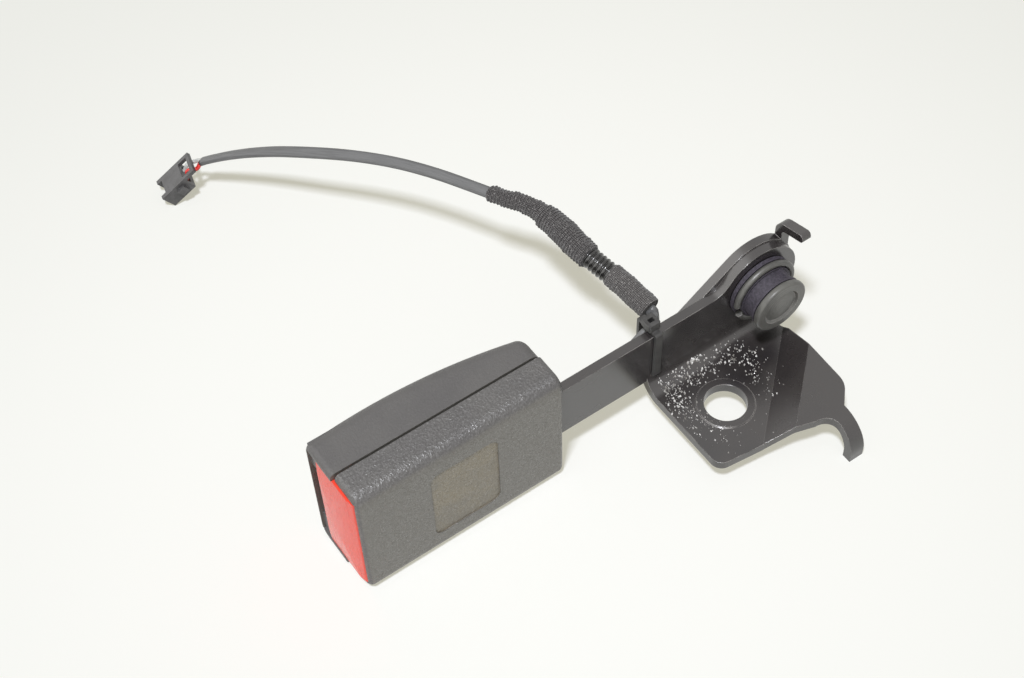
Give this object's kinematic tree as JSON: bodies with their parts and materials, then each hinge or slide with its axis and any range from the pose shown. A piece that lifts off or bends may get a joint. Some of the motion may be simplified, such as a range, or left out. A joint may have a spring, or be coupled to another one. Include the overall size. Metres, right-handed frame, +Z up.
{
  "type": "seat belt buckle",
  "caption": "Seat belt buckle with a press button on a rigid steel stalk with a bolted anchor plate, a headed stud and a switch lead with a connector.",
  "frame": {"origin": "centre of the anchor bolt hole on the underside of the base plate", "axes": "+X from the buckle along the strap to the lug, +Y from the near broad face of the housing to the far one, +Z up out of the bolt hole, across the strap"},
  "size_m": [0.1678, 0.229, 0.0518],
  "materials": {
    "housing_plastic": "grained",
    "button_plastic": "gloss",
    "coated_steel": "satin e-coat",
    "zinc_steel": "zinc plated",
    "spring_steel": "bright",
    "spool_plastic": "rough",
    "inner_plastic": "natural",
    "tie_nylon": "satin",
    "cloth_tape": "woven",
    "conduit_plastic": "satin",
    "lead_vinyl": "satin",
    "connector_plastic": "satin",
    "wire_red_vinyl": "satin",
    "wire_white_vinyl": "satin",
    "tinned_brass": "tinned"
  },
  "bodies": {
    "stalk": {"anchor_bracket": "coated_steel", "lug_doubler": "coated_steel", "anchor_stud": "coated_steel", "housing_near_shell": "housing_plastic", "housing_far_shell": "housing_plastic", "buckle_frame": "zinc_steel", "frame_rivets": "zinc_steel", "latch_pin": "zinc_steel", "ejector_spring": "spring_steel", "button_springs": "spring_steel", "latch_spring": "spring_steel", "buckle_switch": "inner_plastic", "switch_lead": "lead_vinyl", "cloth_wrap_a": "cloth_tape", "convoluted_tube": "conduit_plastic", "cloth_wrap_b": "cloth_tape", "cloth_wrap_c": "cloth_tape", "lead_jacket": "lead_vinyl", "cable_tie": "tie_nylon", "connector_housing": "connector_plastic", "terminals": "tinned_brass", "wire_red": "wire_red_vinyl", "wire_white": "wire_white_vinyl"},
    "button": {"press_button": "button_plastic"},
    "latch": {"latch_plate": "zinc_steel"},
    "ejector": {"ejector": "inner_plastic"},
    "spool": {"spool_bush": "spool_plastic", "spring_ring": "coated_steel"}
  },
  "joints": [
    {"name": "button_press", "type": "slide", "parent": "stalk", "child": "button", "axis": [1, 0, 0], "range_m": [0, 0.005], "stiffness_N_per_m": 900, "springref_m": -0.004, "deforming": ["button_springs"]},
    {"name": "latch_drop", "type": "hinge", "parent": "stalk", "child": "latch", "pos_m": [-0.072, 0.032, 0.0178], "axis": [0, 0, 1], "range_deg": [0, 6.6], "deforming": ["latch_spring"]},
    {"name": "ejector_travel", "type": "slide", "parent": "stalk", "child": "ejector", "axis": [1, 0, 0], "range_m": [0, 0.012], "stiffness_N_per_m": 500, "springref_m": -0.006, "deforming": ["ejector_spring"]},
    {"name": "spool_turn", "type": "hinge", "parent": "stalk", "child": "spool", "pos_m": [0.027, 0.015, 0.0238], "axis": [0, 1, 0], "continuous": true}
  ],
  "couplings": [
    {"joint": "latch_drop", "follows": "button_press", "rad_per_m": 23.037}
  ]
}
